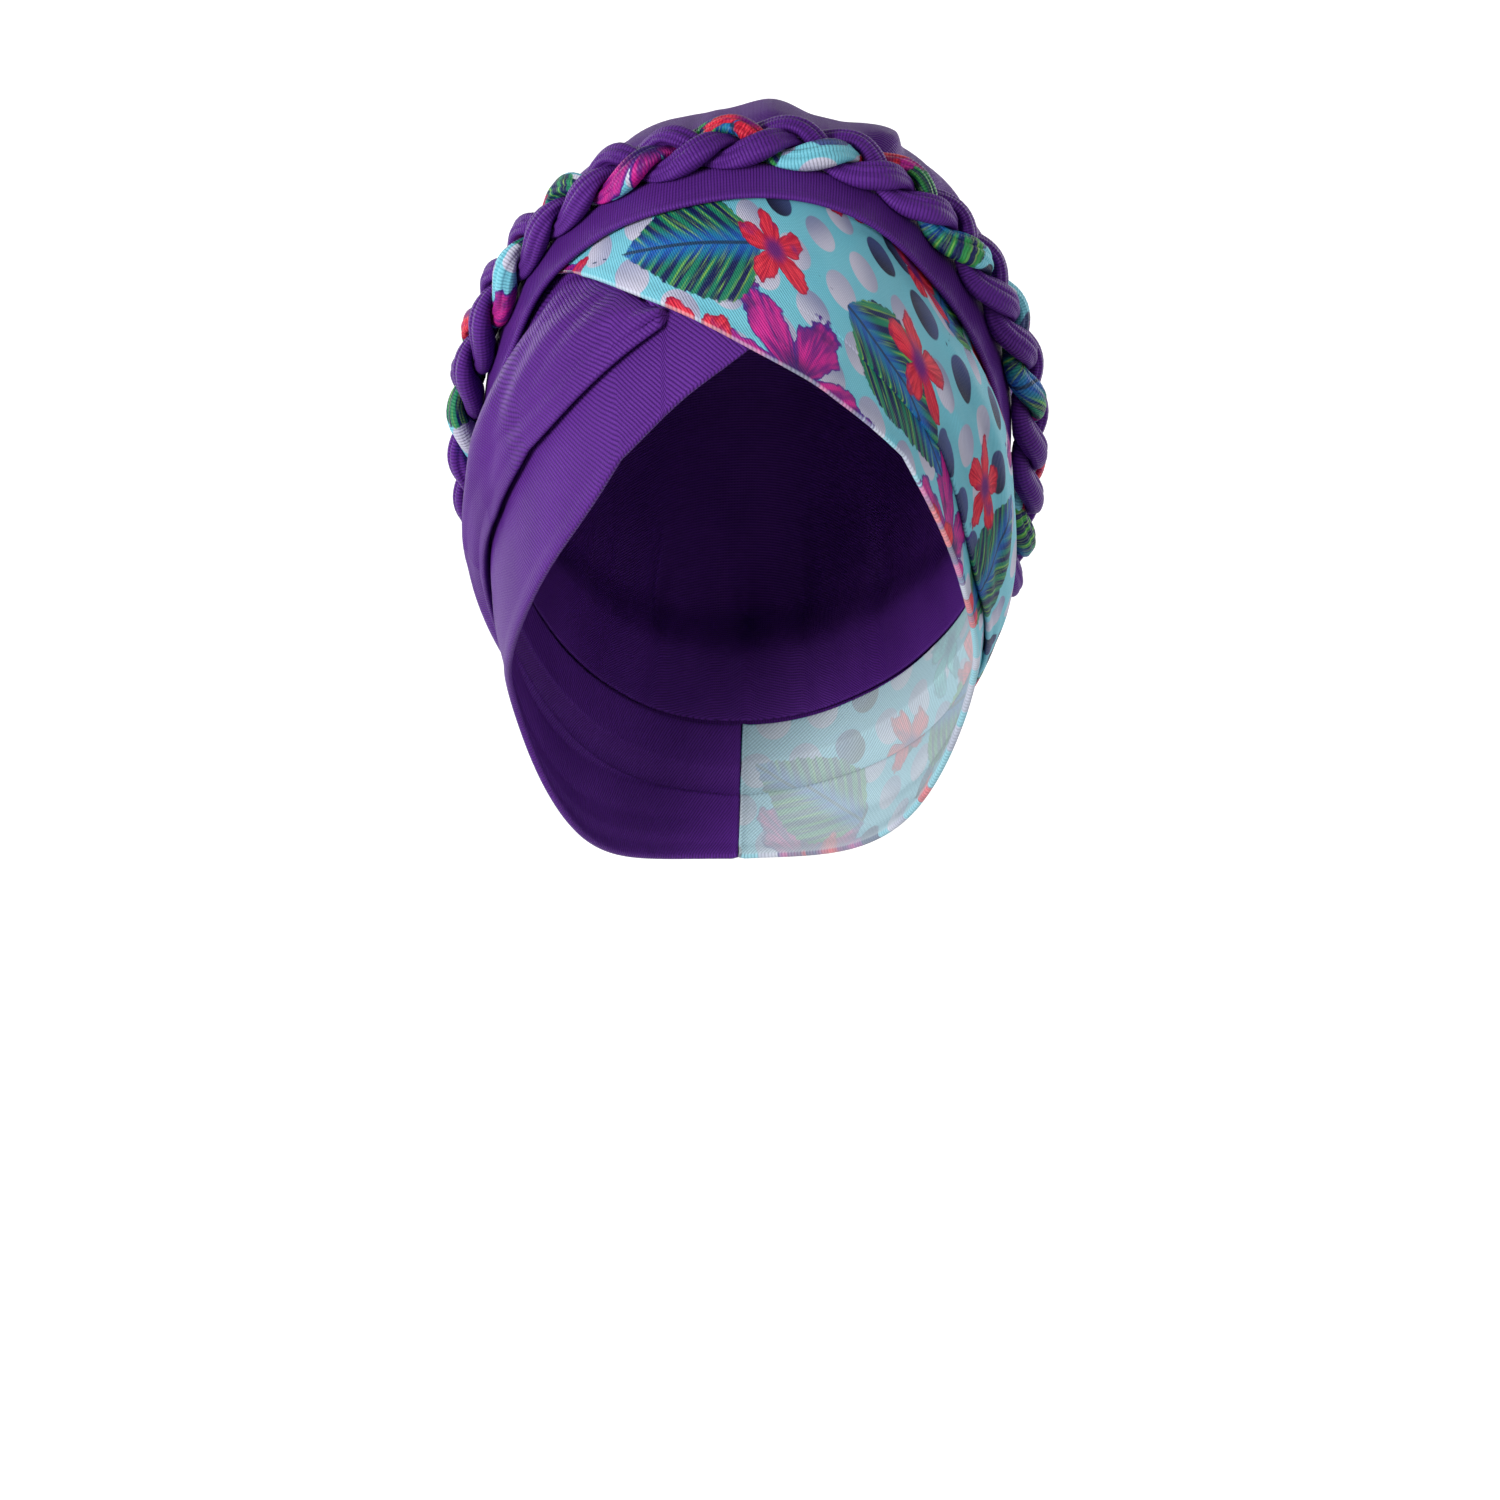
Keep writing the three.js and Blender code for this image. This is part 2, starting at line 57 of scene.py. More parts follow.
camera_data = bpy.data.cameras.new("view")
camera_data.lens = FOCAL_MM
camera_data.sensor_width = SENSOR_MM
camera = bpy.data.objects.new("view", camera_data)
camera.location = (VIEW_SHIFT, -VIEW_DISTANCE, VIEW_HEIGHT)
camera.rotation_euler = (np.pi / 2 - VIEW_PITCH, 0, 0)
bpy.context.collection.objects.link(camera)
bpy.context.scene.camera = camera
bpy.context.scene.view_settings.view_transform = "Standard"


def paint(red, green, blue):
    """A colour of eight-bit sRGB parts as the linear colour that a shader takes."""
    part = np.array([red, green, blue]) / 255
    linear = np.where(part <= 0.04045, part / 12.92, ((part + 0.055) / 1.055) ** 2.4)
    return (*[float(c) for c in linear], 1.0)


def grid_mesh(name, points, faces, material):
    """A smooth mesh object of these points, in millimetres, and faces."""
    mesh = bpy.data.meshes.new(name)
    mesh.from_pydata((points * 0.001).tolist(), [], faces)
    mesh.polygons.foreach_set("use_smooth", np.ones(len(mesh.polygons), bool))
    mesh.materials.append(material)
    mesh.update()
    obj = bpy.data.objects.new(name, mesh)
    bpy.context.collection.objects.link(obj)
    return obj


def sweep_material():
    """Matt paper: white behind the wrap, where it glows a little with painted light that stands in
    for light from elsewhere, and grey on the viewer's side, so that it throws less light on the wrap."""
    material = bpy.data.materials.new("pale_sweep")
    material.use_nodes = True
    nodes, links = material.node_tree.nodes, material.node_tree.links
    shader = nodes["Principled BSDF"].inputs
    place = nodes.new("ShaderNodeTexCoord").outputs["Object"]
    parts = nodes.new("ShaderNodeSeparateXYZ")
    links.new(place, parts.inputs[0])
    # The emission is painted light: it rises from none on the viewer's side to 0.4 behind the wrap.
    looks = ((shader["Base Color"], 0.4, 0.94), (shader["Emission Strength"], 0.0, 0.4))
    for socket, front, behind in looks:
        share = nodes.new("ShaderNodeMapRange")
        share.interpolation_type = "SMOOTHSTEP"
        for key, value in {"From Min": -2.2, "From Max": 1.4, "To Min": front, "To Max": behind}.items():
            share.inputs[key].default_value = value
        links.new(parts.outputs["Y"], share.inputs["Value"])
        links.new(share.outputs[0], socket)
    shader["Roughness"].default_value = 0.9
    shader["Emission Color"].default_value = (1, 1, 1, 1)
    return material


def bowl(steps=24, turns=96):
    """The backdrop all round: the profile goes flat out from the middle, then up a quarter
    circle to a plain wall, and is turned about the vertical."""
    bend = np.linspace(0, np.pi / 2, steps)
    away = np.concatenate([[0.01], SWEEP_START + SWEEP_RADIUS * np.sin(bend)])
    level = np.concatenate([[0.0], SWEEP_RADIUS * (1 - np.cos(bend))])
    away, level = np.append(away, away[-1]), np.append(level, SWEEP_TOP) + FLOOR_LEVEL
    turn = 2 * np.pi * np.arange(turns)[:, None] / turns
    points = np.stack([away * np.cos(turn), away * np.sin(turn), level + 0 * turn], -1).reshape(-1, 3)
    i, j = np.meshgrid(np.arange(turns), np.arange(len(away) - 1), indexing="ij")
    near, far = i * len(away) + j, (i + 1) % turns * len(away) + j
    faces = np.stack([near, near + 1, far + 1, far], -1).reshape(-1, 4)
    return points * 1000, faces.tolist()


backdrop = grid_mesh("backdrop", *bowl(), sweep_material())

LAMPS = [
    # name, place, size, watts
    ("key", (-1.6, -1.6, 0.2), 0.9, 60),
    ("fill", (1.6, -1.6, 0.2), 1.4, 14),
    ("top", (0.2, 0.5, 1.9), 1.2, 2),
    ("back_left", (-1.3, 1.0, 0.4), 0.9, 7),
    ("back_right", (1.3, 1.0, 0.4), 0.9, 7),
]
WRAP_MIDDLE = np.array([0.0, 0.0, -0.11])
for lamp_name, place, size, watts in LAMPS:
    lamp = bpy.data.lights.new(lamp_name, "AREA")
    lamp.size = size
    lamp.energy = watts
    lamp_object = bpy.data.objects.new(lamp_name, lamp)
    lamp_object.location = place
    away = np.array(place) - WRAP_MIDDLE
    away /= np.linalg.norm(away)
    lamp_object.rotation_euler = (np.arccos(away[2]), 0, np.arctan2(away[1], away[0]) + np.pi / 2)
    bpy.context.collection.objects.link(lamp_object)
world = bpy.data.worlds.new("studio")
world.use_nodes = True
world.node_tree.nodes["Background"].inputs["Color"].default_value = (1, 1, 1, 1)
world.node_tree.nodes["Background"].inputs["Strength"].default_value = 0.2
bpy.context.scene.world = world


# The crown: a bag of purple knit over the top and back of the head. Its rim is sewn to the band
# under the braid, and it stands fuller on the sides and at the back, where it gathers. One soft
# ridge and a small knife pleat run over it from front to back.
HEAD = dict(half_width=78.0, front=96.0, back=104.0, above=98.0, below=172.0, level=-98.0, lean=0.02)
HALO = np.array(
    [
        # azimuth, latitude
        (-180, -34), (-150, -31), (-125, -22), (-106, -11), (-91, 2), (-80, 17), (-70, 32),
        (-51, 47.5), (-26, 55.5), (2, 58.5), (28, 55.5), (51, 45.5), (67, 30), (79, 14), (90, -3),
        (105, -15), (126, -24), (151, -31),
    ],
    float,
)
BAND_BACK, BAND_FRONT, CROWN_RIM, PANEL_TOP, CLEAR = -11.0, 19.5, 7.0, 8.0, 1.5
KNIT = 0.55
LAYER = 2.35


def direction(azimuth, latitude):
    """Unit directions: azimuth is 0 at the forehead and grows to +X, latitude grows upwards."""
    a, l = np.radians(azimuth), np.radians(latitude)
    return np.stack([np.cos(l) * np.sin(a), -np.cos(l) * np.cos(a), np.sin(l)], -1)


def on_head(way, offset):
    """Points outside the head: each half axis of four quarter ellipsoids, plus the offset,
    times the unit direction, with x sheared by the lean times the height."""
    x, y, z = way[..., 0], way[..., 1], way[..., 2]
    depth = np.where(y < 0, HEAD["front"], HEAD["back"]) + offset
    up = (np.where(z > 0, HEAD["above"], HEAD["below"]) + offset) * z
    return np.stack([(HEAD["half_width"] + offset) * x + HEAD["lean"] * up, depth * y, HEAD["level"] + up], -1)


def unit(v):
    return v / np.maximum(np.linalg.norm(v, axis=-1, keepdims=True), 1e-9)


def towards(point):
    """The unit direction of a point near the head, which undoes on_head at offset 0."""
    up = point[..., 2] - HEAD["level"]
    depth = np.where(point[..., 1] < 0, HEAD["front"], HEAD["back"])
    height = np.where(up > 0, HEAD["above"], HEAD["below"])
    x = (point[..., 0] - HEAD["lean"] * up) / HEAD["half_width"]
    return unit(np.stack([x, point[..., 1] / depth, up / height], -1))


def smooth(x, start, end):
    """0 before start and 1 after end, with a cubic ease between them."""
    t = np.clip((x - start) / (end - start), 0, 1)
    return t * t * (3 - 2 * t)


def closed_curve(knots, samples=80, steps=1440):
    """A closed centripetal Catmull-Rom curve through the knots, at equal steps of its length:
    each span is a cubic whose end slopes come from chords timed by the root of their length."""
    a, b = np.roll(knots, 1, 0), knots
    c, d = np.roll(knots, -1, 0), np.roll(knots, -2, 0)
    ab, bc, cd = [np.sqrt(np.linalg.norm(q - p, axis=1, keepdims=True)) for p, q in ((a, b), (b, c), (c, d))]
    leave = ((b - a) / ab - (c - a) / (ab + bc) + (c - b) / bc) * bc
    reach = ((c - b) / bc - (d - b) / (bc + cd) + (d - c) / cd) * bc
    t = np.linspace(0, 1, samples, endpoint=False)[:, None, None]
    cubic = b + leave * t + (-3 * b + 3 * c - 2 * leave - reach) * t**2
    cubic = cubic + (2 * b - 2 * c + leave + reach) * t**3
    line = cubic.transpose(1, 0, 2).reshape(-1, 3)
    line = np.vstack([line, line[:1]])
    length = np.concatenate([[0], np.cumsum(np.linalg.norm(np.diff(line, axis=0), axis=1))])
    at = np.linspace(0, length[-1], steps, endpoint=False)
    return np.stack([np.interp(at, length, line[:, k]) for k in range(3)], 1), length[-1]


halo_line, HALO_LENGTH = closed_curve(on_head(direction(HALO[:, 0], HALO[:, 1]), 0.0))
halo_tangent = unit(np.roll(halo_line, -3, 0) - np.roll(halo_line, 3, 0))
halo_azimuth = np.degrees(np.unwrap(np.arctan2(towards(halo_line)[:, 0], -towards(halo_line)[:, 1])))
halo_azimuth -= 360 * np.round((halo_azimuth[0] + 180) / 360)


def around(values, share):
    """Values that are known at equal steps round the halo line, at any share of it."""
    at = np.mod(share, 1) * len(values)
    low = np.floor(at).astype(int) % len(values)
    part = (at - np.floor(at))[..., None]
    return values[low] * (1 - part) + values[(low + 1) % len(values)] * part


def halo_share(azimuth):
    return np.interp(azimuth, halo_azimuth, np.arange(len(halo_line)) / len(halo_line))


def beside_halo(share, across):
    """Directions of the points that lie this many millimetres from the halo line, towards the
    face: a step along the tangent plane, put back on the head."""
    share, across = np.broadcast_arrays(np.asarray(share, float), np.asarray(across, float))
    point, along = around(halo_line, share), around(halo_tangent, share)
    out = on_head(towards(point), 1.0) - point
    return towards(point + unit(np.cross(along, out)) * across[..., None])


def place_of(way):
    """The share of the halo line nearest to each direction, and the distance across it."""
    coarse, tangent = halo_line[::2], halo_tangent[::2]
    point = on_head(way, 0.0).reshape(-1, 3)
    near = [
        ((part[:, None] - coarse[None]) ** 2).sum(-1).argmin(1)
        for part in np.array_split(point, max(1, len(point) // 2000))
    ]
    near = np.concatenate(near)
    line = point - coarse[near]
    share = near / len(coarse) + (line * tangent[near]).sum(1) / HALO_LENGTH
    out = on_head(way, 1.0).reshape(-1, 3) - point
    across = (line * unit(np.cross(tangent[near], out))).sum(1)
    return np.mod(share, 1).reshape(way.shape[:-1]), across.reshape(way.shape[:-1])


def cloth_shell(name, middle, half, material, loop=False, pole=False, cap_steps=5):
    """A closed wall of cloth on a grid of middle points, with u along and v across: the middle
    plus and minus half the thickness along its normal, and half a circle round each edge. UV
    is the place on the flat cloth in metres: the lengths along it and from its last edge, or
    round a pole the distance from it times the cosine and sine. The attribute inner is 1 on the inside."""
    def slope(values, axis, closed):
        if closed:
            return np.roll(values, -1, axis) - np.roll(values, 1, axis)
        return np.gradient(values, axis=axis)

    normal = np.cross(slope(middle, 0, loop), slope(middle, 1, False))
    if pole:
        normal[:, -1] = normal[:, -2].mean(0)
    normal = unit(normal)
    if ((middle - np.array([0, 0, HEAD["level"]])) * normal).sum() < 0:
        normal = -normal
    half = np.broadcast_to(half, middle.shape[:2])[..., None]
    outer, inner = middle + normal * half, middle - normal * half
    turn = np.linspace(0, np.pi, cap_steps + 2)[1:-1]

    def cap(edge, inside, side):
        away = unit(middle[:, edge] - middle[:, inside])[:, None]
        up = normal[:, edge][:, None] * side
        curve = up * np.cos(turn)[:, None] + away * np.sin(turn)[:, None]
        return middle[:, edge][:, None] + half[:, edge][:, None] * curve

    step = np.linalg.norm(np.diff(middle, axis=1), axis=-1)
    down = np.concatenate([np.zeros((len(middle), 1)), np.cumsum(step, 1)], 1)
    edges = {k: np.repeat(down[:, [k]], cap_steps, 1) for k in (0, -1)}
    count, rows = middle.shape[:2]
    row = rows // 2
    spine = np.concatenate([middle[:, row], middle[:1, row]])
    along = np.concatenate([[0], np.cumsum(np.linalg.norm(np.diff(spine, axis=0), axis=1))])
    if pole:
        ring = np.concatenate([outer[:, ::-1], cap(0, 1, 1), inner], 1)
        away = down[:, -1:] - np.concatenate([down[:, ::-1], edges[0], down], 1)
        phase = 2 * np.pi * np.arange(count) / count
        cloth = away[..., None] * np.stack([np.cos(phase), np.sin(phase)], -1)[:, None]
        cloth = np.concatenate([cloth, cloth[:1]])
        inward = np.repeat([0.0, 0.5, 1.0], [rows, cap_steps, rows])
    else:
        ring = np.concatenate([outer, cap(-1, -2, 1), inner[:, ::-1], cap(0, 1, -1)], 1)
        across = down[:, -1:] - np.concatenate([down, edges[-1], down[:, ::-1], edges[0]], 1)
        across = np.concatenate([across, across[:1]])
        cloth = np.stack([np.broadcast_to(along[:, None], across.shape), across], -1)
        inward = np.repeat([0.0, 0.5, 1.0, 0.5], [rows, cap_steps, rows, cap_steps])
    around_it = ring.shape[1]
    i = np.arange(count if loop else count - 1)[:, None]
    j = np.arange(around_it - 1 if pole else around_it)[None]
    i, j = np.broadcast_arrays(i, j)
    corners = [(i, j), (i + 1, j), (i + 1, j + 1), (i, j + 1)]
    faces = np.stack([(a % count) * around_it + b % around_it for a, b in corners], -1).reshape(-1, 4)
    uv = np.stack([cloth[a, b % around_it] for a, b in corners], -2).reshape(-1, 4, 2)
    points = ring.reshape(-1, 3)
    if quad_volume(points, faces) < 0:
        faces, uv = faces[:, ::-1], uv[:, ::-1]
    obj = grid_mesh(name, points, faces.tolist(), material)
    layer = obj.data.uv_layers.new(name="cloth")
    layer.data.foreach_set("uv", (uv * 0.001).astype(np.float32).ravel())
    inside = obj.data.attributes.new("inner", "FLOAT", "POINT")
    inside.data.foreach_set("value", np.tile(inward, count).astype(np.float32))
    close_mesh(obj, ends=not loop)
    return obj


def quad_volume(points, faces):
    a, b, c, d = [points[faces[:, k]] for k in range(4)]
    return ((a * np.cross(b, c)).sum() + (a * np.cross(c, d)).sum()) / 6


def close_mesh(obj, ends):
    """Merges the points that meet at a pole, and fills the two ends of an open wall."""
    work = bmesh.new()
    work.from_mesh(obj.data)
    bmesh.ops.remove_doubles(work, verts=work.verts, dist=1e-7)
    if ends:
        rims = [e for e in work.edges if e.is_boundary]
        bmesh.ops.holes_fill(work, edges=rims, sides=0)
    work.to_mesh(obj.data)
    work.free()


class Amount:
    """A number that a shader works out. Sums with it read as in plain code and lay Math nodes."""

    def __init__(self, loom, socket):
        self.loom, self.socket = loom, socket

    def __add__(self, other):
        return self.loom.math("ADD", self, other)

    def __sub__(self, other):
        return self.loom.math("SUBTRACT", self, other)

    def __rsub__(self, other):
        return self.loom.math("SUBTRACT", other, self)

    def __mul__(self, other):
        return self.loom.math("MULTIPLY", self, other)

    def __truediv__(self, other):
        return self.loom.math("DIVIDE", self, other)

    def __pow__(self, other):
        return self.loom.math("POWER", self, other)

    def __gt__(self, other):
        return self.loom.math("GREATER_THAN", self, other)

    def __abs__(self):
        return self.loom.math("ABSOLUTE", self)


class Loom:
    """Lays shader nodes in a tree, so that a pattern reads as a list of sums."""

    def __init__(self, tree):
        self.tree = tree

    def put(self, kind, inputs=(), **settings):
        node = self.tree.nodes.new(kind)
        for key, value in settings.items():
            setattr(node, key, value)
        for key, value in dict(inputs).items():
            self.join(value, node.inputs[key])
        return node

    def join(self, value, socket):
        value = value.socket if isinstance(value, Amount) else value
        if isinstance(value, bpy.types.NodeSocket):
            self.tree.links.new(value, socket)
        else:
            socket.default_value = value

    def math(self, operation, *values, clamp=False):
        node = self.put("ShaderNodeMath", enumerate(values), operation=operation, use_clamp=clamp)
        return Amount(self, node.outputs[0])

    def sine(self, value):
        return self.math("SINE", value)

    def ramp(self, value, low, high, start=0.0, end=1.0):
        """start below low and end above high, with an ease between them."""
        keys = {"Value": value, "From Min": low, "From Max": high, "To Min": start, "To Max": end}
        node = self.put("ShaderNodeMapRange", keys, interpolation_type="SMOOTHSTEP")
        return Amount(self, node.outputs[0])

    def mix(self, share, first, second):
        node = self.put("ShaderNodeMix", {0: share, 6: first, 7: second}, data_type="RGBA")
        return node.outputs[2]

    def noise(self, vector, scale, detail=2.0):
        keys = {"Vector": vector, "Scale": scale, "Detail": detail}
        return Amount(self, self.put("ShaderNodeTexNoise", keys).outputs["Fac"])

    def parts(self, vector):
        node = self.put("ShaderNodeSeparateXYZ", {0: vector})
        return [Amount(self, socket) for socket in node.outputs[:2]]

    def vector(self, x, y, z=0.0):
        return self.put("ShaderNodeCombineXYZ", {0: x, 1: y, 2: z}).outputs[0]

    def turned(self, vector, angle):
        keys = {"Vector": vector, "Angle": angle}
        return self.put("ShaderNodeVectorRotate", keys, rotation_type="Z_AXIS").outputs[0]

    def moved(self, vector, shift):
        return self.put("ShaderNodeVectorMath", {0: vector, 1: shift}, operation="ADD").outputs[0]

    def length(self, x, y):
        return (x * x + y * y) ** 0.5


def new_group(name, inputs, outputs):
    """An empty node group with named sockets, and a loom on it."""
    tree = bpy.data.node_groups.new(name, "ShaderNodeTree")
    for direction_name, sockets in (("INPUT", inputs), ("OUTPUT", outputs)):
        for socket, kind, *start in sockets:
            made = tree.interface.new_socket(socket, in_out=direction_name, socket_type=f"NodeSocket{kind}")
            if start:
                made.default_value = start[0]
    given = tree.nodes.new("NodeGroupInput").outputs
    result = tree.nodes.new("NodeGroupOutput").inputs
    return tree, Loom(tree), given, result


def knit_group():
    """Fine ribs of a stretch knit: a row of round wales, broken into stitches, at an angle on
    the cloth's own UV in metres. Puts out a height, a painted shade from 0 to 1 for the
    valleys between the wales, and an uneven wear."""
    inputs = [("Cloth", "Vector"), ("Angle", "Float", 0.0), ("Rib", "Float", 0.0009)]
    outputs = [("Height", "Float"), ("Valley", "Float"), ("Uneven", "Float")]
    tree, loom, given, result = new_group("ribbed_knit", inputs, outputs)
    turned = loom.turned(given["Cloth"], given["Angle"])
    x, y = loom.parts(turned)
    across = x / given["Rib"] + loom.noise(turned, 90.0) * 0.5
    wale = abs(loom.sine(across * np.pi))
    stitch = loom.sine(y / given["Rib"] * (1.4 * np.pi))
    loom.join(wale**0.6 + stitch * 0.12, result["Height"])
    loom.join(1.0 - wale, result["Valley"])
    loom.join(loom.noise(given["Cloth"], 26.0, 4.0), result["Uneven"])
    return tree


ribbed_knit = knit_group()


def knit_material(name, angle, colour_of, shine, rib=0.0009):
    """Stretch knit: a colour, ribs as bump and as painted shade in their valleys, and a satin
    shine that is drawn out across the ribs and takes the colour of the yarn."""
    material = bpy.data.materials.new(name)
    material.use_nodes = True
    loom = Loom(material.node_tree)
    shader = material.node_tree.nodes["Principled BSDF"].inputs
    cloth = loom.put("ShaderNodeUVMap", uv_map="cloth").outputs[0]
    keys = {"Cloth": cloth, "Angle": np.radians(angle), "Rib": rib}
    ribs = loom.put("ShaderNodeGroup", node_tree=ribbed_knit)
    for key, value in keys.items():
        loom.join(value, ribs.inputs[key])
    painted_valley_shade, uneven = [Amount(loom, ribs.outputs[key]) for key in ("Valley", "Uneven")]
    light, valley_shade_colour = colour_of(loom, cloth, uneven)
    # Painted shade: the base colour goes darker towards the valleys between the ribs.
    loom.join(loom.mix(painted_valley_shade * 0.7, light, valley_shade_colour), shader["Base Color"])
    loom.join(uneven * 0.2 + 0.36, shader["Roughness"])
    relief = {"Strength": 0.7, "Distance": 0.00028, "Height": ribs.outputs["Height"]}
    loom.join(loom.put("ShaderNodeBump", relief).outputs[0], shader["Normal"])
    tangent = loom.put("ShaderNodeTangent", direction_type="UV_MAP", uv_map="cloth")
    loom.join(tangent.outputs[0], shader["Tangent"])
    shader["Anisotropic"].default_value = 0.4
    shader["Specular IOR Level"].default_value = 0.22
    shader["Specular Tint"].default_value = paint(*shine)
    return material


# The third colour is painted shade for the valleys between the ribs; the other two are the knit's own purple,
# which varies at random.
PURPLE, PURPLE_VALLEY_SHADE, PURPLE_PALE = paint(82, 37, 123), paint(36, 12, 64), paint(91, 43, 134)
VIOLET_SHINE, PLAIN_SHINE = (196, 140, 246), (236, 240, 246)


# Purple knit: its own colour, which varies at random, and a painted shade for the rib valleys.
def purple_cloth(loom, cloth, uneven):
    return loom.mix(loom.ramp(uneven, 0.35, 0.7), PURPLE, PURPLE_PALE), PURPLE_VALLEY_SHADE


def crown_height(way, onto, u, across):
    """Height of the crown over the head: fuller to the sides and the back, plus the ridges
    along x, plus gathers round the rim that fade towards the pole."""
    free = 1 - smooth(across, BAND_BACK - CLEAR - 20, BAND_BACK - CLEAR)
    sideways = np.where(way[..., 0] > 0, 6.5, 3.2) * smooth(np.abs(way[..., 0]), 0.15, 0.75)
    to_back = smooth(way[..., 1], 0.05, 0.85)
    full = np.maximum(sideways, 7.5 * to_back)
    top = smooth(way[..., 2], 0.1, 0.6)
    x = onto[..., 0]
    ridges = sum(
        height * ridge(x, middle, *reach) for middle, reach, height in CROWN_RIDGES
    )
    near_rim = np.exp(-(((across - BAND_BACK + 10) / 26) ** 2))
    gathers = gather_waves(u) * np.clip(0.3 + to_back, 0, 1) * near_rim
    drape = 0.5 + 0.5 * np.cos(2 * np.pi * 7 * u + 0.8)
    long_folds = drape**2 * to_back * np.exp(-(((across - BAND_BACK + 45) / 40) ** 2))
    return free * (full + ridges * top + 4.4 * gathers + 2.4 * long_folds)


def ridge(x, middle, before, after):
    """A ridge along a line: one side eases over `before`, the other over `after`."""
    reach = np.where(x < middle, before, after)
    return smooth(1 - np.abs(x - middle) / reach, 0, 1)


def gather_waves(u):
    """Uneven gathers round the rim: three cosines whose counts share no factor."""
    turn = 2 * np.pi * u
    waves = 0.3 * np.cos(23 * turn) + 0.22 * np.cos(37 * turn + 1.3) + 0.12 * np.cos(59 * turn + 0.4)
    return np.clip(0.45 + waves, 0, 1) ** 1.5


CROWN_RIDGES = [
    # x, reach before and after it, height
    (8, (15, 13), 2.8),
    (41, (13, 3.5), 3.3),
    (-26, (12, 14), 0.8),
]
CROWN_POLE = direction(180.0, 45.0)
CROWN_COLUMNS, CROWN_RIM_ROWS, CROWN_OPEN_ROWS = 420, 26, 80


def crown_bag():
    u = np.arange(CROWN_COLUMNS) / CROWN_COLUMNS
    across = np.linspace(CROWN_RIM - 0.6, BAND_BACK - 20, CROWN_RIM_ROWS)
    rim = beside_halo(u[:, None], across[None])
    start = rim[:, -1:]
    turn = np.arccos(np.clip(start @ CROWN_POLE, -1, 1))[..., None]
    w = np.linspace(0, 1, CROWN_OPEN_ROWS + 1)[1:][None, :, None]
    open_part = unit(start * np.sin((1 - w) * turn) + CROWN_POLE * np.sin(w * turn))
    way = np.concatenate([rim, open_part], 1)
    onto = on_head(way, 0.0)
    gone = np.linalg.norm(np.diff(onto[:, CROWN_RIM_ROWS - 1 :], axis=1), axis=-1).cumsum(1)
    on_rim = np.broadcast_to(across, (CROWN_COLUMNS, CROWN_RIM_ROWS))
    distance = np.concatenate([on_rim, across[-1] - gone], 1)
    height = crown_height(way, onto, u[:, None], distance)
    middle = on_head(way, height + 1.0)
    return cloth_shell("crown_bag", middle, KNIT, purple_crown, loop=True, pole=True)


purple_crown = knit_material("purple_crown_knit", 0, purple_cloth, VIOLET_SHINE)
crown = crown_bag()
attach(crown, "root")
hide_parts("crown")


# The band: a flat strip of doubled purple knit round the head. The crown and both panels are
# sewn in under it, and over the forehead it rides on both crossed panels. The braid hides it
# apart from its front edge, where the fold is rolled and stitched.
CROSS_FROM, CROSS_TO, CROSS_EASE = -60.0, 30.0, 0.06
BAND_COLUMNS, BAND_ROWS = 480, 34


def layers_under(share):
    """1 over the forehead, where the band and the print lie on the purple panel, else 0."""
    start, end = halo_share(CROSS_FROM) - 0.01, halo_share(CROSS_TO) + 0.01
    return smooth(share, start - CROSS_EASE, start) * (1 - smooth(share, end, end + CROSS_EASE))


def band_height(share, across):
    lifted = LAYER * layers_under(share) * smooth(across, CROWN_RIM - 4, CROWN_RIM)
    return LAYER + lifted


def halo_band():
    u = np.arange(BAND_COLUMNS)[:, None] / BAND_COLUMNS
    across = np.linspace(BAND_BACK + 0.8, BAND_FRONT - 0.9, BAND_ROWS)[None]
    way = beside_halo(u, across)
    rolled = smooth(across, BAND_FRONT - 3.2, BAND_FRONT - 1.4)
    puckers = 0.12 * np.cos(2 * np.pi * 210 * u) * smooth(across, BAND_FRONT - 7, BAND_FRONT - 4)
    middle = on_head(way, band_height(u, across) + 1.0 + puckers * (1 - rolled))
    half = np.broadcast_to(0.8 + 0.22 * rolled, middle.shape[:2])
    return cloth_shell("halo_band", middle, half, purple_band, loop=True)


purple_band = knit_material("purple_band_knit", 0, purple_cloth, VIOLET_SHINE)
band = halo_band()
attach(band, "root")
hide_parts("front_band")


# The purple panel: one layer of knit that starts under the print over the forehead, fans down
# the side of the head in a lobe with a deep pleat, and ends in a seam at the centre back. Its
# edge round the face is turned in and rolled.
LEFT_STATIONS = np.array(
    [
        # halo, face azimuth, face latitude, pleat, lobe, step, strip
        (30, 27, 41, 0.6, 0, 0, 0),
        (14, 13, 29, 0.4, 0, 0, 0),
        (-3, 0, 19, 0.5, 0, 1.4, 0),
        (-20, -13, 12, 0.59, 0.8, 3.0, 0.4),
        (-38, -25, 2, 0.61, 2.0, 3.2, 1.0),
        (-52, -36, -5.5, 0.65, 3.4, 3.6, 1.6),
        (-64, -48, -11.5, 0.7, 5.0, 3.8, 2.0),
        (-76, -61, -18, 0.66, 6.2, 3.6, 2.3),
        (-86, -76, -24, 0.56, 6.6, 3.2, 2.5),
        (-98, -90, -29, 0.5, 5.8, 2.6, 2.4),
        (-112, -99, -40, 0.4, 4.4, 2.0, 2.6),
        (-130, -115, -50.5, 0.4, 2.8, 1.6, 2.4),
        (-153, -144, -55, 0.45, 1.6, 1.2, 1.6),
        (-179.95, -179.95, -56, 0.5, 0.8, 0.8, 0.8),
    ],
    float,
)
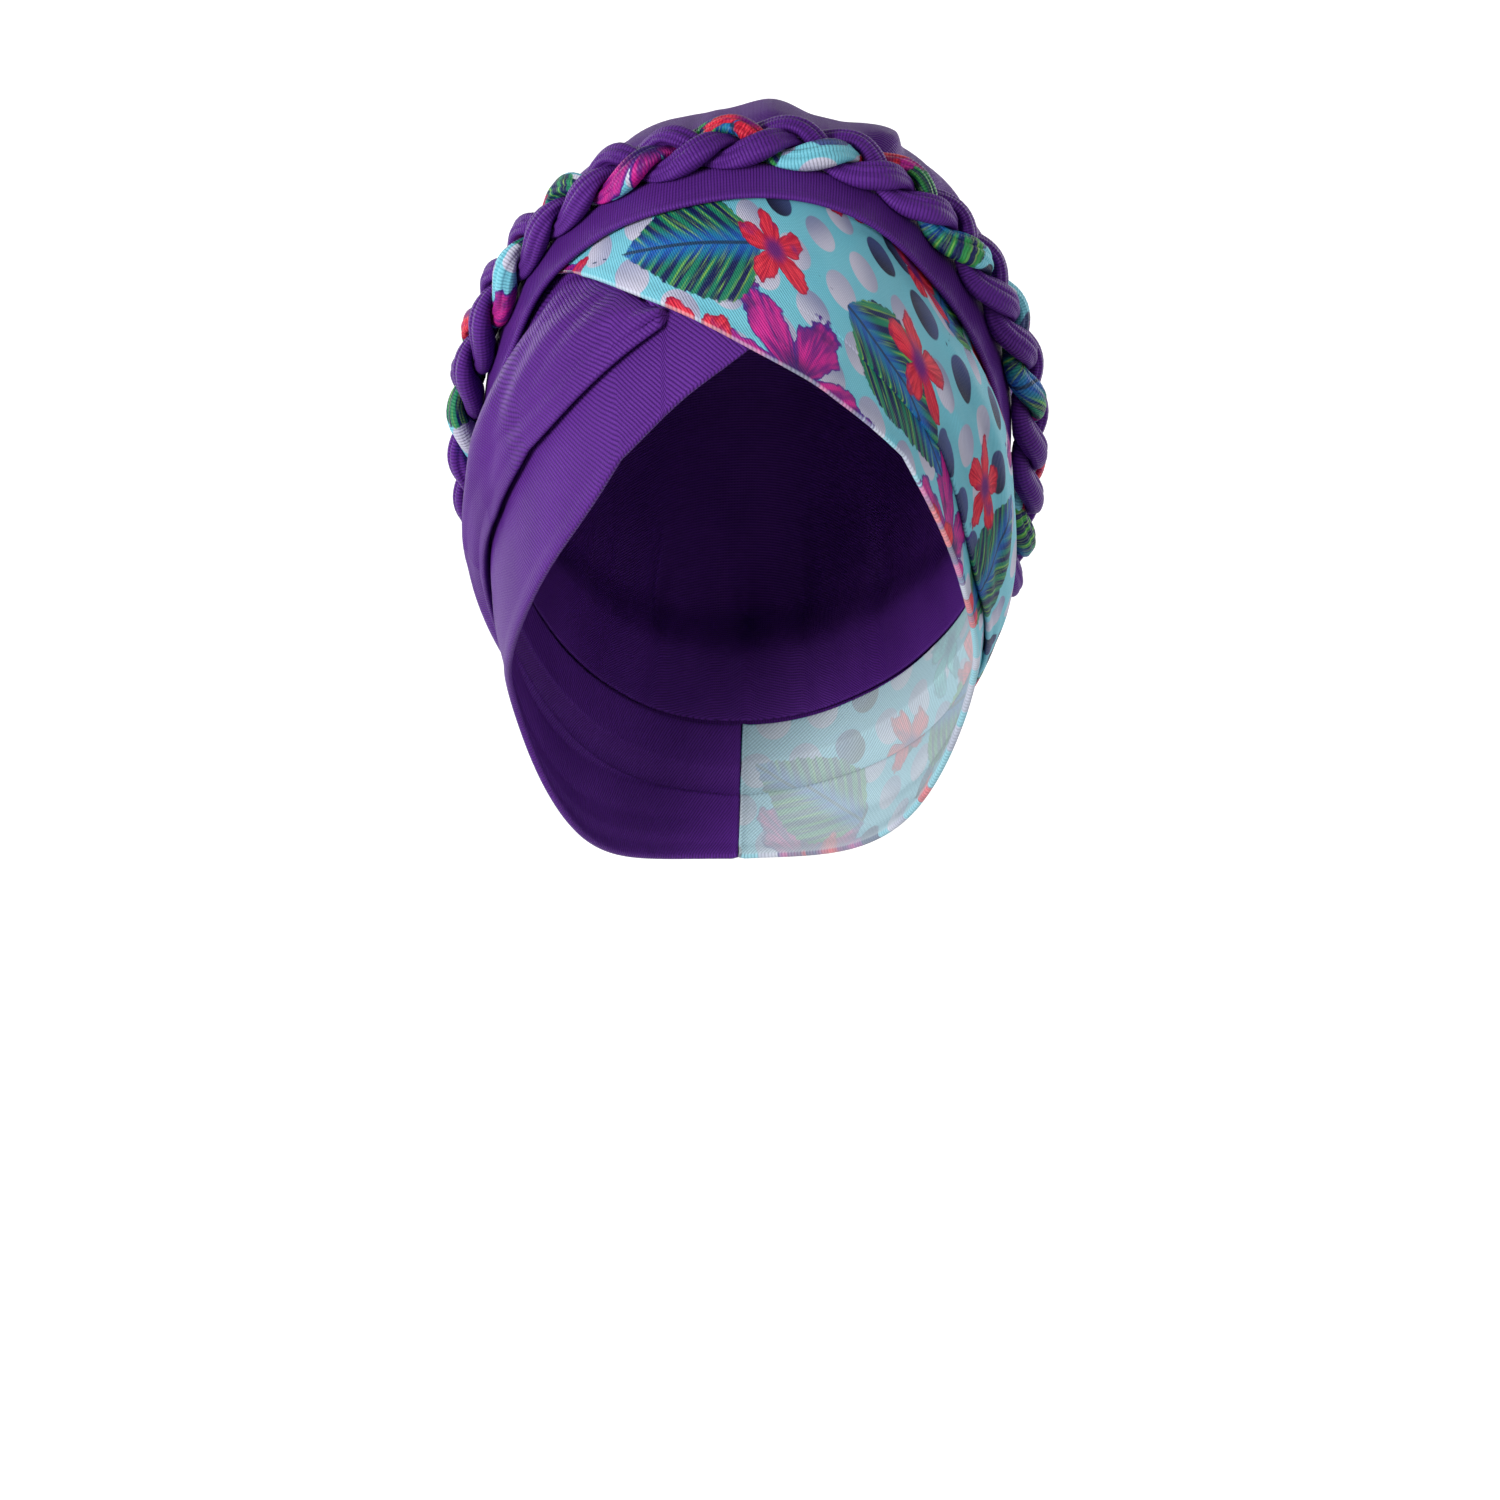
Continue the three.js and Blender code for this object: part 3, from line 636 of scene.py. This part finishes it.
PRINT_STATIONS = np.array(
    [
        (-60, -58, 31, 0.6, 0, 0, 0),
        (-46, -45, 31.5, 0.6, 0, 0, 0),
        (-30, -29, 28.5, 0.6, 0, 0, 0),
        (-14, -14, 25, 0.6, 0, 0, 0),
        (2, 1, 19, 0.65, 0, 0, 0),
        (17, 15, 13, 0.7, 0.2, 0.2, 0),
        (32, 28, 5.5, 0.75, 0.6, 0.4, 0),
        (46, 40, -2.5, 0.8, 2.0, 0.8, 0),
        (58, 52, -9.5, 0.85, 3.6, 1.2, 0),
        (69, 62, -15.5, 0.9, 5.4, 1.6, 0.4),
        (80, 73, -21, 0.88, 5.8, 2.2, 1.0),
        (91, 86, -26, 0.76, 4.4, 2.2, 1.6),
        (105, 97, -36, 0.56, 2.6, 1.6, 2.6),
        (122, 109, -46, 0.45, 2.0, 1.2, 2.4),
        (148, 138, -54, 0.45, 1.6, 1.2, 1.6),
        (179.95, 179.95, -56, 0.5, 0.8, 0.8, 0.8),
    ],
    float,
)
HEM_WIDTH, TURN_WIDTH = 5.0, 1.6
LEFT_COLUMNS, PRINT_COLUMNS, EVENED_COLUMNS = 420, 440, 61


def through_rows(table, count):
    """A table's columns at equal places from its first row to its last, on the cubic whose
    slope at each row is half the step between its neighbours."""
    at = np.linspace(0, len(table) - 1, count)
    i = np.minimum(at.astype(int), len(table) - 2)
    t = (at - i)[:, None]

    def row(k):
        return table[np.clip(k, 0, len(table) - 1)]

    leave, reach = (row(i + 1) - row(i - 1)) / 2, (row(i + 2) - row(i)) / 2
    start, end = row(i), row(i + 1)
    square = 3 * end - 3 * start - 2 * leave - reach
    cubic = 2 * start - 2 * end + leave + reach
    return (start + leave * t + square * t**2 + cubic * t**3).T


def print_edge():
    """How far across the halo line the print's edge round the face lies, by share."""
    share, across = place_of(direction(PRINT_STATIONS[:, 1], PRINT_STATIONS[:, 2]))
    return share + (np.arange(len(share)) > 0) * (share < share[0]), across


edge_share, edge_across = print_edge()


def covered_across(share):
    hidden = BAND_FRONT + CLEAR
    return np.maximum(hidden, np.interp(share, edge_share, edge_across, left=hidden, right=hidden) + CLEAR)


def under_band(share):
    return np.full(np.shape(share), BAND_FRONT + CLEAR)


def on_bare_head(share):
    return 0 * share


def flat_share(top, face, flat_to):
    """The share of each station down to which it lies flat: where its distance across the halo
    line passes the one that flat_to gives."""
    w = np.linspace(0, 0.9, 46)
    way = unit(top[:, None] * (1 - w)[None, :, None] + face[:, None] * w[None, :, None])
    share, across = place_of(way)
    beyond = across - flat_to(share)
    last = np.where(beyond < 0, np.arange(len(w)), 0).max(1)
    row, after = np.arange(len(beyond)), np.minimum(last + 1, len(w) - 1)
    rise = np.maximum(beyond[row, after] - beyond[row, last], 1e-3)
    return w[last] + np.clip(-beyond[row, last] / rise, 0, 1) * w[1]


def evened(values, width):
    """Values along a panel, each replaced by the mean of its neighbours under a raised cosine."""
    kernel = np.hanning(width + 2)[1:-1]
    padded = np.pad(values, width // 2, mode="reflect", reflect_type="odd")
    return np.convolve(padded, kernel / kernel.sum(), "valid")


def panel(name, stations, columns, flat_to, under, material, creases, half=KNIT):
    """A panel that hangs from the band. Down each station the cloth lies flat, rises in a
    lobe, turns over a pleat in an S that overhangs it, and runs on as a strip to a rolled
    edge. Heights are over the head, in millimetres."""
    columns_of = [evened(column, EVENED_COLUMNS) for column in through_rows(stations, columns)]
    halo, face_azimuth, face_latitude, pleat, lobe, step, strip = columns_of
    top = beside_halo(halo_share(halo), PANEL_TOP + 0.6)
    face = direction(face_azimuth, face_latitude)
    flat = evened(flat_share(top, face, flat_to), 9)
    shown = smooth(pleat - flat, 0.005, 0.035)
    lobe, step = lobe * shown, step * shown
    pleat = np.clip(pleat, flat + 0.012, 0.96)
    height = np.linalg.norm(on_head(top, 0.0) - on_head(face, 0.0), axis=1)
    rows_flat, rows_lobe, rows_turn, rows_strip = 12, 44, 20, 26
    flat_part, lobe_part, turn = [(np.arange(n) / n)[None] for n in (rows_flat, rows_lobe, rows_turn)]
    flat_w = flat[:, None] * flat_part
    lobe_w = flat[:, None] + (pleat - flat)[:, None] * lobe_part
    overhang = np.minimum(0.85 * step, 3.0)[:, None]
    turn_w = pleat[:, None] + (TURN_WIDTH * turn + overhang * np.sin(2 * np.pi * turn)) / height[:, None]
    strip_from = (pleat + TURN_WIDTH / height)[:, None]
    strip_w = strip_from + (1 - strip_from) * np.linspace(0, 1, rows_strip)[None]
    w = np.concatenate([flat_w, lobe_w, turn_w, strip_w], 1)
    down = np.clip((w - flat[:, None]) / (pleat - flat)[:, None], 0, 1)
    above = lobe[:, None] * np.sin(np.pi * down**0.75) + step[:, None] * smooth(down, 0, 0.7)
    falls = np.concatenate([np.ones(rows_flat + rows_lobe), 1 - smooth(turn[0], 0, 1), np.zeros(rows_strip)])
    above = above * falls[None]
    base = strip[:, None] * smooth(w, flat[:, None], flat[:, None] + 0.25)
    over = (pleat[:, None] - w) * height[:, None]
    roll = 0.45 * np.exp(-(((over - 1.5) / 1.6) ** 2)) - 0.5 * np.exp(-(((over - 6) / 1.7) ** 2))
    above = above + roll * np.minimum(step / 3, 1)[:, None] * falls[None]
    tucked = np.exp(-((np.maximum(-over, 0) / 2.5) ** 2)) * (1 - falls[None])
    base = base - 0.9 * tucked * np.minimum(step / 3, 1)[:, None]
    way = unit(top[:, None] * (1 - w)[..., None] + face[:, None] * w[..., None])
    share, across = place_of(way)
    loose = smooth(across, flat_to(share), flat_to(share) + 9)
    place = np.linspace(0, 1, columns)[:, None]
    folds = sum(crease(place, w, *row) for row in creases) * loose
    to_edge = (1 - w) * height[:, None]
    hem = smooth(to_edge, HEM_WIDTH, 1.2)
    seam = -0.8 * np.exp(-((halo[-1] - halo) / 1.1)[:, None] ** 2)
    middle = on_head(way, np.maximum(0, above + base) + folds + seam + LAYER * under(share) + 1.0)
    thick = half + 0.55 * hem * smooth(1 - flat, 0.08, 0.3)[:, None]
    return cloth_shell(name, middle, thick, material)


def crease(place, w, from_place, from_w, to_place, to_w, height, width, steep):
    """A soft fold along a line between two places of the panel, given along and down it: a
    ridge of this height that falls off over width, and over width / steep on the lower side."""
    t = np.clip((place - from_place) / (to_place - from_place), 0, 1)
    line = from_w + (to_w - from_w) * t
    fade = np.sin(np.pi * t) ** 0.6 * (t > 0) * (t < 1)
    away = w - line
    reach = np.where(away > 0, width / steep, width)
    return height * fade * np.exp(-((away / reach) ** 2))


LEFT_CREASES = [
    # from: along, down; to: along, down; height, width, steepness of the lower side
    (0.35, 0.22, 0.56, 0.66, -1.3, 0.055, 1.0),
    (0.30, 0.33, 0.48, 0.60, -0.8, 0.04, 1.0),
    (0.46, 0.26, 0.66, 0.40, -0.9, 0.06, 1.0),
    (0.52, 0.22, 0.84, 0.30, 1.1, 0.05, 1.6),
    (0.60, 0.42, 0.97, 0.46, 1.1, 0.05, 1.8),
    (0.64, 0.30, 0.98, 0.36, -0.8, 0.04, 1.0),
    (0.60, 0.72, 0.98, 0.68, 0.8, 0.06, 1.4),
    (0.70, 0.86, 0.98, 0.82, -0.6, 0.04, 1.0),
]
purple_fan = knit_material("purple_panel_knit", 35, purple_cloth, VIOLET_SHINE)
left = panel(
    "pleated_panel", LEFT_STATIONS, LEFT_COLUMNS, covered_across, on_bare_head, purple_fan, LEFT_CREASES
)
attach(left, "root")
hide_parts("left_panel")


# The printed panel: one layer of printed knit that crosses over the purple one on the forehead,
# runs down the other side and ends in the same seam at the centre back. The print is dots on
# aqua, with veined leaves and five-petalled blossoms strewn over them.
def cells(loom, cloth, pitch, seed, offset=0.0):
    """A lattice whose second rows are moved by half a cell: the place within the cell in metres
    from its middle, and three random amounts for the cell, from 0 to 1."""
    x, y = loom.parts(cloth)
    high = pitch * 0.87
    v = y / high + offset
    row = loom.math("FLOOR", v)
    u = x / pitch + loom.math("FLOORED_MODULO", row, 2.0) * 0.5
    column = loom.math("FLOOR", u)
    keys = {"Vector": loom.vector(column, row, seed)}
    colour = loom.put("ShaderNodeTexWhiteNoise", keys, noise_dimensions="3D").outputs["Color"]
    chance = loom.put("ShaderNodeSeparateColor", {0: colour}).outputs[:3]
    near = ((u - column - 0.5) * pitch, (v - row - 0.5) * high)
    return near, [Amount(loom, socket) for socket in chance]


def dots(loom, cloth, under):
    """Round dots in slanted rows, each shaded from one side to the other, grey or navy."""
    radius = 0.0059
    (x, y), (pick, turn, fade) = cells(loom, loom.turned(cloth, 0.22), 0.0172, 3.0)
    mask = loom.ramp(loom.length(x, y), radius * 0.94, radius * 1.03, 1.0, 0.0)
    way = turn * 2.0 + 0.6
    slant = x * loom.math("COSINE", way) + y * loom.sine(way)
    shade = loom.ramp(slant, -radius, radius) * (fade * 0.5 + 0.5)
    pale = loom.mix(shade, paint(192, 190, 208), paint(120, 128, 164))
    navy = loom.mix(shade, paint(28, 30, 54), paint(78, 92, 146))
    return loom.mix(mask, under, loom.mix(pick > 0.76, pale, navy))


def leaves(loom, cloth, under, pitch, seed, length, presence):
    """Pointed leaves, one to a cell: half width w sin(pi t) along the rib, veins that run back
    from it in an arrow, and streaks in blues and greens."""
    (x, y), (turn, there, tint) = cells(loom, cloth, pitch, seed)
    x, y = loom.parts(loom.turned(loom.vector(x, y), (turn - 0.5) * (2 * np.pi)))
    side = abs(x)
    t = loom.math("ADD", y / length, 0.5, clamp=True)
    half = loom.sine(t**0.8 * np.pi) * (length * 0.34)
    inside = half + (loom.noise(cloth, 420.0) - 0.5) * 0.004 - side
    mask = loom.ramp(inside, 0.0, 0.0006) * (there + presence > 1.0)
    veins = y - side * 1.1
    streak = loom.noise(loom.vector(veins * 9.0, side), 60.0, 3.0)
    wave = loom.sine(veins * 1150.0 + streak * 5.0)
    greens = loom.mix(tint, paint(24, 118, 92), paint(52, 140, 62))
    colour = loom.mix(loom.ramp(wave, -0.5, 0.8), paint(18, 28, 78), greens)
    colour = loom.mix(loom.ramp(streak, 0.52, 0.72), colour, paint(126, 176, 74))
    heart = loom.ramp(side + streak * 0.004, 0.002, length * 0.17, 0.7, 0.0)
    colour = loom.mix(heart, colour, paint(28, 104, 196))
    colour = loom.mix(loom.ramp(side, 0.0003, 0.0008, 1.0, 0.0), colour, paint(28, 60, 92))
    return loom.mix(mask, under, colour)


def blossoms(loom, cloth, under, pitch, seed, size, petals, presence, inks):
    """Blossoms, one to a cell, each with its petals at equal angles a: radius
    r (0.35 + 0.65 |cos(petals a / 2)|^0.8), streaked outwards, round a dark heart."""
    deep, bright, heart, edge = inks
    (x, y), (move, turn, there) = cells(loom, cloth, pitch, seed, 0.4)
    x = x + (move - 0.5) * (pitch * 0.3)
    angle = loom.math("ARCTAN2", y, x) + turn * 6.0
    away = loom.length(x, y)
    petal = abs(loom.math("COSINE", angle * (petals / 2)))
    reach = (petal**0.8 * 0.65 + 0.35 + (loom.noise(cloth, 170.0, 4.0) - 0.5) * 0.8) * size
    inside = (reach - away) / size
    mask = loom.ramp(inside, 0.0, 0.04) * (there + presence > 1.0)
    ray = loom.noise(loom.vector(loom.sine(angle * petals) * 0.02, away * 0.5, angle * 0.02), 170.0, 3.0)
    colour = loom.mix(loom.ramp(ray, 0.34, 0.66), deep, bright)
    colour = loom.mix(loom.ramp(loom.noise(cloth, 130.0, 3.0), 0.52, 0.7, 0.0, 0.7), colour, heart)
    colour = loom.mix(loom.ramp(petal, 0.0, 0.45, 0.8, 0.0), colour, edge)
    colour = loom.mix(loom.ramp(away / size, 0.1, 0.4, 1.0, 0.0), colour, heart)
    colour = loom.mix(loom.ramp(inside, 0.02, 0.14, 1.0, 0.0), colour, edge)
    return loom.mix(mask, under, colour)


RED_INKS = paint(178, 16, 52), paint(230, 60, 78), paint(104, 28, 112), paint(150, 18, 66)
PLUM_INKS = paint(110, 26, 120), paint(206, 38, 140), paint(48, 24, 92), paint(60, 34, 128)
TEAL_INKS = paint(60, 170, 176), paint(96, 200, 196), paint(20, 110, 140), paint(30, 128, 150)


def print_group():
    """The print, as a colour on the cloth's own UV in metres."""
    inputs = [("Cloth", "Vector"), ("Crowd", "Float", 0.0)]
    tree, loom, given, result = new_group("dots_and_leaves", inputs, [("Color", "Color")])
    cloth, crowd = given["Cloth"], Amount(loom, given["Crowd"])
    colour = loom.mix(loom.noise(cloth, 60.0, 3.0), paint(100, 180, 200), paint(124, 194, 210))
    colour = dots(loom, cloth, colour)
    colour = blossoms(loom, cloth, colour, 0.071, 41.0, 0.015, 5, crowd - 0.1, TEAL_INKS)
    colour = blossoms(loom, cloth, colour, 0.096, 31.0, 0.027, 6, crowd + 0.6, PLUM_INKS)
    colour = leaves(loom, cloth, colour, 0.078, 11.0, 0.052, crowd + 0.7)
    colour = blossoms(loom, cloth, colour, 0.049, 23.0, 0.0135, 5, crowd + 0.4, RED_INKS)
    loom.join(colour, result["Color"])
    return tree


dots_and_leaves = print_group()


def printed_cloth(shift, crowd):
    """A way to colour knit with the print, moved by shift metres along and across, with more
    leaves and blossoms by crowd. On the inside the print shows through as a pale tint. A copy
    of the colour at 0.62 of its value is painted shade for the valleys between the ribs."""
    def colour_of(loom, cloth, uneven):
        design = loom.put("ShaderNodeGroup", {}, node_tree=dots_and_leaves)
        loom.join(loom.moved(cloth, (*shift, 0)), design.inputs["Cloth"])
        design.inputs["Crowd"].default_value = crowd
        inner = loom.put("ShaderNodeAttribute", attribute_name="inner").outputs["Fac"]
        back = loom.mix(Amount(loom, inner) * 0.6, design.outputs["Color"], paint(206, 222, 226))
        # Painted shade for the rib valleys: the same colour at 0.62 of its value.
        valley_shade_colour = loom.put("ShaderNodeHueSaturation", {"Value": 0.62, "Saturation": 1.1, "Color": back})
        return back, valley_shade_colour.outputs[0]

    return colour_of


PRINT_CREASES = [
    (0.40, 0.50, 0.66, 0.92, 0.9, 0.06, 1.6),
    (0.46, 0.34, 0.70, 0.86, 1.1, 0.07, 1.5),
    (0.52, 0.62, 0.70, 0.96, 0.6, 0.04, 1.5),
    (0.60, 0.30, 0.94, 0.45, 1.2, 0.09, 1.4),
    (0.66, 0.74, 0.98, 0.72, 0.8, 0.07, 1.4),
]
printed_front = knit_material("printed_panel_knit", -45, printed_cloth((0.062, 0.012), 0.22), PLAIN_SHINE)
right = panel(
    "printed_panel", PRINT_STATIONS, PRINT_COLUMNS, under_band, layers_under, printed_front, PRINT_CREASES
)
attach(right, "root")
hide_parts("print_panel")


# The braid: three strands of knit, each a folded tube, plaited loosely and laid as a closed
# halo on the band. Two are purple and one is cut from the print. Each strand is as full as its
# neighbours and the band leave room for, and has creases that run along it.
BRAID = dict(plaits=12, phase=0.33, middle=9.9, swing=4.9, rise=2.4, sideways=5.9, above=3.5, below=4.6)
STRAND_SECTIONS, STRAND_SIDES, STRAND_GIRTH = 40, 44, 0.034
HALVINGS = 9


def strand_middle(number, share):
    """The middle of a strand: across the halo line as a sine, once in each plait, and up and
    down as a sine of twice that, so that the three pass over and under in turn."""
    turn = 2 * np.pi * (BRAID["plaits"] * share + BRAID["phase"] + number / 3)
    height = BRAID["middle"] - BRAID["rise"] * np.sin(2 * turn)
    return on_head(beside_halo(share, BRAID["swing"] * np.sin(turn)), height)


def distance_to_line(points, line):
    """Distance of each point to the nearest of the spans of its own short line."""
    start, span = line[:, :-1], np.diff(line, axis=1)
    gap = points[:, :, None] - start[:, None]
    along = (gap * span[:, None]).sum(-1) / (span**2).sum(-1)[:, None]
    return np.linalg.norm(gap - np.clip(along, 0, 1)[..., None] * span[:, None], axis=-1).min(-1)


def braid_strand(number, material):
    count = BRAID["plaits"] * STRAND_SECTIONS
    share = np.arange(count) / count
    middle = strand_middle(number, share)
    along = unit(np.roll(middle, -1, 0) - np.roll(middle, 1, 0))
    up = unit(on_head(towards(middle), 20.0) - middle)
    sideways = unit(np.cross(up, along))
    above = np.cross(along, sideways)
    angle = 2 * np.pi * np.arange(STRAND_SIDES) / STRAND_SIDES
    c, s = np.cos(angle)[None, :, None], np.sin(angle)[None, :, None]
    spread = sideways[:, None] * c + above[:, None] * s
    tall = np.where(s[..., 0] > 0, BRAID["above"], BRAID["below"])
    full = 1 / np.hypot(c[..., 0] / BRAID["sideways"], s[..., 0] / tall)
    near = np.arange(count)[:, None] + np.arange(-20, 21)[None]
    others = [strand_middle((number + k) % 3, share)[near % count] for k in (1, 2)]

    def fits(reach):
        point = middle[:, None] + spread * reach[..., None]
        clear = np.minimum(*[distance_to_line(point, line) for line in others]) - reach - 0.25
        way = towards(point)
        way_share, across = place_of(way)
        top = on_head(way, band_height(way_share, across) + 2.0)
        out = unit(on_head(way, 20.0) - top)
        return np.minimum(clear, ((point - top) * out).sum(-1) - 0.15)

    high = np.broadcast_to(full, (count, STRAND_SIDES)).copy()
    low = np.full(high.shape, 0.8)
    whole = fits(high) >= 0
    for _ in range(HALVINGS):
        tried = (low + high) / 2
        good = fits(tried) >= 0
        low, high = np.where(good, tried, low), np.where(good, high, tried)
    limit = np.where(whole, full, low)
    reach = limit
    for _ in range(3):
        reach = (np.roll(reach, 1, 0) + 2 * reach + np.roll(reach, -1, 0)) / 4
        reach = (np.roll(reach, 1, 1) + 2 * reach + np.roll(reach, -1, 1)) / 4
    reach = np.minimum(reach, limit)
    reach = reach * (1 - lengthwise_creases(number, share[:, None], angle[None]))
    points = middle[:, None] + spread * reach[..., None]
    return tube_piece(f"strand_{number + 1}", points, material)


def lengthwise_creases(number, share, angle):
    """Grooves along the strand: narrow dips at angles that wander slowly round it."""
    wander = 0.5 * np.sin(2 * np.pi * (5 * share) + number) + 0.3 * np.sin(2 * np.pi * 13 * share + 2 * number)
    dip = 0.0
    for start, depth, width in ((0.75, 0.27, 0.15), (1.7, 0.25, 0.13), (2.5, 0.22, 0.15), (4.4, 0.1, 0.2)):
        off = np.angle(np.exp(1j * (angle - start - wander)))
        dip = dip + depth * np.exp(-np.abs(off) / width)
    return dip


def tube_piece(name, points, material):
    """A closed tube through rings of points, with UV as the length along it and round it."""
    count, sides = points.shape[:2]
    i, j = np.meshgrid(np.arange(count), np.arange(sides), indexing="ij")
    corners = [(i, j), (i + 1, j), (i + 1, j + 1), (i, j + 1)]
    faces = np.stack([(a % count) * sides + b % sides for a, b in corners], -1).reshape(-1, 4)
    middle = points.mean(1)
    length = np.concatenate([[0], np.cumsum(np.linalg.norm(np.roll(middle, -1, 0) - middle, axis=1))])
    girth = STRAND_GIRTH / sides
    lengthwise = np.stack([length[a] * 0.001 for a, _ in corners], -1)
    crosswise = np.stack([b * girth for _, b in corners], -1)
    uv = np.stack([lengthwise, crosswise], -1).reshape(-1, 4, 2)
    flat_points = points.reshape(-1, 3)
    if quad_volume(flat_points, faces) < 0:
        faces, uv = faces[:, ::-1], uv[:, ::-1]
    obj = grid_mesh(name, flat_points, faces.tolist(), material)
    layer = obj.data.uv_layers.new(name="cloth")
    layer.data.foreach_set("uv", uv.astype(np.float32).ravel())
    return obj


purple_strand = knit_material("purple_strand_knit", 0, purple_cloth, VIOLET_SHINE)
printed_strand = knit_material("printed_strand_knit", 0, printed_cloth((0.31, 0.085), 0.4), PLAIN_SHINE)
for number, material, slot in (
    (0, purple_strand, "purple_knit"),
    (1, purple_strand, "purple_knit"),
    (2, printed_strand, "printed_knit"),
):
    strand = braid_strand(number, material)
    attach(strand, "root")
    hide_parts(f"braid_strand_{number + 1}")
